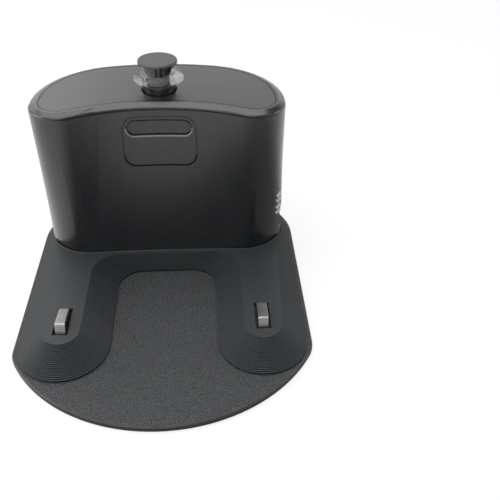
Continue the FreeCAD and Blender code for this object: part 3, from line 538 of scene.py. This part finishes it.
# %% Shape the window
pane_low, pane_high = (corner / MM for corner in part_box("front_window"))
DIP_DROP, DIP_HEIGHT, DIP_SIDE_GAP, DIP_MARGIN = 0.9, 7.5, 1.3, 0.2
GROOVE_WIDTH, GROOVE_DEPTH = 1.0 * MM, 0.7 * MM
PANE_ROUND, GAP_SHADOW_RISE, GAP_SHADOW_RADIUS, LIP_RADIUS = 0.3, 6, 0.3 * MM, 0.6 * MM
dip_high = pane_high.z - DIP_DROP
dip_low = dip_high - DIP_HEIGHT
dip_half = pane_high.x - DIP_SIDE_GAP


def on_dip(middle):
    """Whether a point is in the dip or on its edge."""
    return (dip_low - DIP_MARGIN < middle.z < dip_high + DIP_MARGIN
            and abs(middle.x) < dip_half + DIP_MARGIN)


window = start_copy("front_window", "window_pane")
# A black bead along the pane's lower edge: painted shadow in the gap there.
gap_shadow_line = copy_off(window, lambda middle, edge: edge_faces_front(edge)
                  and middle.z < pane_low.z + GAP_SHADOW_RISE)
rim = select_edges(window, lambda middle, edge: not on_dip(middle) and edge_faces_front(edge))
round_off(PANE_ROUND, 3)
bpy.ops.mesh.select_all(action="DESELECT")
lip = copy_off(window, lambda middle, edge: on_dip(middle) and edge_faces_front(edge)
               and middle.z < (dip_low + dip_high) / 2)


def dip_floor(piece):
    """The faces at the bottom of the dip: they look to the front and lie wholly inside it.

    The skin comes with them, because its faces last only as long as it does."""
    skin = bmesh.from_edit_mesh(piece.data)
    return skin, [face for face in skin.faces if face.normal.y < FRONT_FACING
                  and all(on_dip(vert.co / MM) for vert in face.verts)]


bpy.ops.mesh.select_mode(type="FACE")
bpy.ops.mesh.select_all(action="DESELECT")
skin, floor_faces = dip_floor(window)
for face in floor_faces:
    face.select = True
bmesh.update_edit_mesh(window.data)
bpy.ops.mesh.inset(thickness=GROOVE_WIDTH, depth=0, use_boundary=True, use_even_offset=True)
skin, floor_faces = dip_floor(window)
for face in floor_faces:
    face.select = not face.select
bmesh.update_edit_mesh(window.data)
bpy.ops.mesh.extrude_region_move(TRANSFORM_OT_translate={"value": (0, GROOVE_DEPTH, 0)})
end_copy(window, "front_window", pane_black, "dock")
print(rim, "rim edges shaped,", len(floor_faces), "faces in the dip")
draw_bead(gap_shadow_line, "window_gap_shadow", GAP_SHADOW_RADIUS, shadow_black)
draw_bead(lip, "window_lip", LIP_RADIUS, lip_painted_highlight)

# %% [markdown]
# ## The charging contacts
# Each contact is a strip of nickel-plated steel, folded on a press to a blunt crest, and it stays high at
# its rear end. A fold has a radius of about the metal's thickness, and plating leaves the rims rounded, so
# the folds get a wide bevel and every other outward corner a fine one, and all of them catch the light.

# %% Fold and round the contacts
REAR_LIFT, REAR_PULL, CLOSE = 1.9, 0.6, 0.1
REAR_ROUND, FOLD_ROUND, RIM_ROUND = 1.1, 0.7, 0.22
for side in ("left", "right"):
    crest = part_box("contact_" + side)[1].z / MM
    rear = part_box("contact_" + side)[1].y / MM
    strip = start_copy("contact_" + side, "strip_" + side)
    select_edges(strip, lambda middle, edge: middle.y > rear - CLOSE and abs(middle.z - plateau) < CLOSE)
    bpy.ops.transform.translate(value=(0, -REAR_PULL * MM, REAR_LIFT * MM))
    round_off(REAR_ROUND, 5)
    bpy.ops.mesh.select_all(action="DESELECT")
    fold = select_edges(strip, lambda middle, edge: middle.z > crest - CLOSE)
    round_off(FOLD_ROUND, 4)
    bpy.ops.mesh.select_all(action="DESELECT")
    rims = select_edges(strip, lambda middle, edge: True)
    round_off(RIM_ROUND, 3)
    end_copy(strip, "contact_" + side, nickel, side + "_contact")
    print(fold, "fold edges and", rims, "rims rounded")

# %% [markdown]
# ## The springs
# A coil spring under each contact pushes it up, and it has to shorten when the contact is pressed. A merged
# copy of it stands on the plate in its place, with a mesh of its own.

# %% Copy the springs
for side in ("left", "right"):
    coil = start_copy("contact_spring_" + side, "coil_" + side)
    end_copy(coil, "contact_spring_" + side, spring_steel, "dock")
    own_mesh(coil)

# %% [markdown]
# ## The louvres' blades
# Four slots in the tower's right corner let warm air out. Each has a slanting blade, so that nothing can be
# pushed in and dust runs off. One blade is a bar with rounded edges, and the others are copies of it. The
# blades are light grey as a painted highlight of the light that they catch.

# %% Set the blades
BLADE_HEIGHTS = (27.5, 30.5, 34.2, 37.2)
BLADE_TILT, BLADE_TURN = math.radians(32), math.radians(-31)
BLADE_X, BLADE_SETBACK, BLADE_LEAN, BLADE_DROP = 52.3, 10.2, 0.07, 0.15
BLADE_SIZE, BLADE_ROUND = Vector((1.5, 4.4, 0.6)), 0.18
tower_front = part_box("tower_shell")[0].y / MM
bpy.ops.object.select_all(action="DESELECT")
blade_place = Vector((BLADE_X, tower_front + BLADE_SETBACK, BLADE_HEIGHTS[0] - BLADE_DROP))
bpy.ops.mesh.primitive_cube_add(size=1, location=blade_place * MM, rotation=(0, BLADE_TILT, BLADE_TURN),
                                scale=BLADE_SIZE * MM)
blade = bpy.context.object
blade.name = "louvre_blade_1"
bpy.ops.object.transform_apply(location=True, rotation=True, scale=True)
bpy.ops.object.mode_set(mode="EDIT")
bpy.ops.mesh.select_all(action="SELECT")
round_off(BLADE_ROUND, 3)
bpy.ops.object.mode_set(mode="OBJECT")
bpy.ops.object.shade_smooth_by_angle(angle=SMOOTH_ANGLE)
blade.data.materials.append(blade_painted_highlight.material)
blades = [blade]
for number, height in enumerate(BLADE_HEIGHTS[1:], 2):
    rise = height - BLADE_HEIGHTS[0]
    copy = bpy.data.objects.new("louvre_blade_%d" % number, blade.data.copy())
    bpy.context.scene.collection.objects.link(copy)
    bpy.ops.object.select_all(action="DESELECT")
    copy.select_set(True)
    bpy.context.view_layer.objects.active = copy
    bpy.ops.transform.translate(value=(0, -BLADE_LEAN * rise * MM, rise * MM))
    bpy.ops.object.transform_apply(location=True, rotation=True, scale=True)
    blades.append(copy)
for piece in blades:
    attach(piece, "dock")
print(len(blades), "blades")

# %% [markdown]
# ## The beacon's collar
# A black collar holds the bowl's neck and flares out onto the lid. It is turned like a pot: one ring of
# points is drawn out and widened or narrowed from step to step, and its two ends are bridged. Each step
# is a radius and a height above the lid, in mm.

# %% Turn the collar
lens_low, lens_high = (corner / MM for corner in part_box("beacon_lens"))
beacon_y = (lens_low.y + lens_high.y) / 2
beacon_axis = (0, beacon_y * MM, 0)
lid_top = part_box("top_plate")[1].z / MM
collar_foot = (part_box("beacon_collar")[0] / MM).z - lid_top
COLLAR = [(5.0, collar_foot), (7.6, collar_foot), (7.6, -0.9), (7.2, -0.9), (7.1, -0.3), (7.0, 0.6),
          (7.0, 3.0), (6.8, 3.2), (5.0, 2.5)]
radius, level = COLLAR[0]
bpy.ops.object.select_all(action="DESELECT")
bpy.ops.mesh.primitive_circle_add(vertices=72, radius=radius * MM, fill_type="NOTHING",
                                  location=(0, beacon_y * MM, (lid_top + level) * MM))
collar = bpy.context.object
collar.name = "collar_flare"
bpy.ops.object.transform_apply(location=True, rotation=True, scale=True)
bpy.ops.object.mode_set(mode="EDIT")
bpy.ops.mesh.select_all(action="SELECT")
for next_radius, next_level in COLLAR[1:]:
    bpy.ops.mesh.extrude_region_move(TRANSFORM_OT_translate={"value": (0, 0, (next_level - level) * MM)})
    scale = next_radius / radius
    bpy.ops.transform.resize(value=(scale, scale, 1), center_override=beacon_axis)
    radius, level = next_radius, next_level
bpy.ops.mesh.select_mode(type="EDGE")
bpy.ops.mesh.select_all(action="DESELECT")
bpy.ops.mesh.select_non_manifold()
bpy.ops.mesh.bridge_edge_loops()
bpy.ops.mesh.select_all(action="SELECT")
bpy.ops.mesh.normals_make_consistent(inside=False)
end_copy(collar, "beacon_collar", collar_black, "dock")

# %% [markdown]
# ## The beacon's reflector
# A pale light guide stands in the bowl's foot, and above it, under the cap, a fluted cone spreads its light
# all round. The guide is a plain cylinder with rounded edges. Its pale grey is a painted reflection: it
# gives the grey band that the clear neck shows.

# %% Make the light guide
GUIDE_RADIUS, GUIDE_HEIGHT, GUIDE_MIDDLE, GUIDE_ROUND = 4.6, 4.2, 4.8, 0.3
bpy.ops.object.select_all(action="DESELECT")
bpy.ops.mesh.primitive_cylinder_add(vertices=48, radius=GUIDE_RADIUS * MM, depth=GUIDE_HEIGHT * MM,
                                    location=(0, beacon_y * MM, (lid_top + GUIDE_MIDDLE) * MM))
guide = bpy.context.object
guide.name = "beacon_guide"
bpy.ops.object.transform_apply(location=True, rotation=True, scale=True)
bpy.ops.object.mode_set(mode="EDIT")
bpy.ops.mesh.select_all(action="SELECT")
round_off(GUIDE_ROUND, 3)
bpy.ops.object.mode_set(mode="OBJECT")
bpy.ops.object.shade_smooth_by_angle(angle=SMOOTH_ANGLE)
guide.data.materials.append(guide_painted_reflection.material)
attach(guide, "dock")
print("light guide", len(guide.data.polygons), "faces")

# %% [markdown]
# ## The fluted cone
# The cone is set into the bowl and shows through its clear wall as dark and bright strokes. It is turned
# into a star by pulling in every second corner of its rims. One side of each flute wears a bright metal, a
# painted glint, and the other the dark one.

# %% Make the fluted cone
CORNERS, CORNER_PULL = 32, 0.82
CONE_TOP_RADIUS, CONE_FOOT_RADIUS, CONE_HEIGHT, CONE_GAP = 7.0, 5.2, 4.8, 0.15
cone_top = lens_high.z - CONE_GAP
bpy.ops.object.select_all(action="DESELECT")
bpy.ops.mesh.primitive_cone_add(vertices=CORNERS, radius1=CONE_FOOT_RADIUS * MM,
                                radius2=CONE_TOP_RADIUS * MM, depth=CONE_HEIGHT * MM, end_fill_type="NGON",
                                location=(0, beacon_y * MM, (cone_top - CONE_HEIGHT / 2) * MM))
cone = bpy.context.object
cone.name = "beacon_reflector"
bpy.ops.object.transform_apply(location=True, rotation=True, scale=True)
bpy.ops.object.mode_set(mode="EDIT")
bpy.ops.mesh.select_mode(type="VERT")
bpy.ops.mesh.select_all(action="DESELECT")
skin = bmesh.from_edit_mesh(cone.data)
for vert in skin.verts:
    step = math.atan2(vert.co.y - beacon_y * MM, vert.co.x) * CORNERS / math.tau
    vert.select = round(step) % 2 == 1
bmesh.update_edit_mesh(cone.data)
bpy.ops.transform.resize(value=(CORNER_PULL, CORNER_PULL, 1), center_override=beacon_axis)
bpy.ops.object.mode_set(mode="OBJECT")
cone.data.materials.append(mirror_dark.material)
cone.data.materials.append(reflector_painted_glint.material)
# One side of each flute wears the bright metal, a painted glint.
for facet in cone.data.polygons:
    outwards = facet.center - Vector(beacon_axis)
    facet.material_index = int(outwards.x * facet.normal.y - outwards.y * facet.normal.x > 0)
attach(cone, "dock")
print("reflector", len(cone.data.polygons), "faces")

# %% [markdown]
# ## The floor
# A white floor and a white sky make a bright product shot. The floor glows for the camera and for
# reflections, so that it reads as white paper, and keeps part of its plain shading for the dock's shadow.
# In reflections its glow carries a painted shadow: it is dimmer close to the dock and far in front of it.

# %% Lay the floor
FLOOR_SIZE, FLOOR_DROP = 6, 0.2 * MM
SHADE_PLACE, SHADE_NEAR, SHADE_WIDE, SHADE_AHEAD = (0.05, -0.03, 0), (0.08, 0.16), (0.3, 0.9), (0.5, 1.2)
bpy.ops.object.select_all(action="DESELECT")
bpy.ops.mesh.primitive_plane_add(size=FLOOR_SIZE, location=(0, 0, -FLOOR_DROP))
floor = bpy.context.object
floor.name = "floor"
paper = Finish("paper", {"Base Color": (0.85, 0.85, 0.85, 1), "Roughness": 0.9})
ahead = -1 * paper.add("ShaderNodeSeparateXYZ", {}, {0: paper.place}, "Y")
from_shade = paper.add("ShaderNodeVectorMath", {"operation": "DISTANCE"},
                       {0: paper.place, 1: SHADE_PLACE}, "Value")
# Painted shadow in the glow's colour: darker round the shade spot and far ahead, for reflections only.
lit = paper.ray("Camera") + (paper.ramp(from_shade, *SHADE_NEAR)
                             * (1 - 0.8 * paper.ramp(ahead, *SHADE_AHEAD)))
glow = paper.add("ShaderNodeEmission", {},
                 {"Color": paper.shade(lit, grey(0.2), grey(1.0)), "Strength": 1.0})
seen = (0.75 + 0.25 * paper.ramp(from_shade, *SHADE_WIDE)) * paper.ray("Camera")
mixed = paper.add("ShaderNodeMixShader", {}, {0: seen + 0.95 * paper.mirrored(),
                                              1: Wire(paper, paper.surface.outputs[0]), 2: glow})
paper.tree.links.new(mixed.socket, paper.tree.nodes["Material Output"].inputs["Surface"])
floor.data.materials.append(paper.material)
print("floor", FLOOR_SIZE, "m wide")

# %% [markdown]
# ## The sky
# The sky is white for the camera and weaker as a light. What gloss shows of it is darker overhead and in
# front, so that the tower's face stays black.

# %% Light the sky
CEILING, FRONT = (0.44, 0.66), (0.4, 0.9)
world = bpy.data.worlds.new("sky")
bpy.context.scene.world = world
world.use_nodes = True
sky = Graph(world.node_tree, "Background")
sky.surface.inputs["Color"].default_value = (1, 1, 1, 1)
towards = sky.add("ShaderNodeTexCoord", {}, {}, "Generated")
rise = sky.add("ShaderNodeSeparateXYZ", {}, {0: towards}, "Z")
ceiling = sky.ramp(rise, *CEILING)
front = sky.ramp(-1 * sky.add("ShaderNodeSeparateXYZ", {}, {0: towards}, "Y"), *FRONT)
gloss = sky.mirrored() * (0.55 - 0.75 * ceiling - 0.6 * front)
sky.feed("Strength", 0.45 + 0.55 * sky.ray("Camera") + gloss)
print("sky of", len(sky.tree.nodes), "nodes")

# %% [markdown]
# ## The lamps
# Five soft boxes stand round the dock. The large one overhead lights the lid and the ramp, and the others
# draw the edges of the tower. Each has a place, a point it looks at, a width, a height and a power.

# %% Hang the lamps
def soft_lamp(name, place, aim, width, height, power):
    data = bpy.data.lights.new(name, "AREA")
    data.shape = "RECTANGLE"
    data.size, data.size_y = width, height
    data.energy = power
    lamp = bpy.data.objects.new(name, data)
    bpy.context.scene.collection.objects.link(lamp)
    lamp.location = place
    lamp.rotation_euler = (Vector(aim) - Vector(place)).to_track_quat("-Z", "Y").to_euler()


LAMPS = [
    ("top_box", (-0.1, 0.0, 0.8), (0, 0.03, 0.04), 0.9, 0.9, 6.0),
    ("back_box", (-0.5, 0.8, 0.8), (0, 0.02, 0.04), 0.8, 0.6, 1.6),
    ("left_box", (-0.7, -0.05, 0.3), (0, 0.02, 0.04), 0.5, 0.6, 2.6),
    ("right_strip", (0.7, 0.05, 0.3), (0, 0.02, 0.04), 0.15, 0.6, 0.6),
    ("front_box", (-0.2, -0.9, 0.5), (0, -0.02, 0.02), 0.8, 0.5, 2.6),
]
for lamp_row in LAMPS:
    soft_lamp(*lamp_row)
print(len(LAMPS), "lamps")
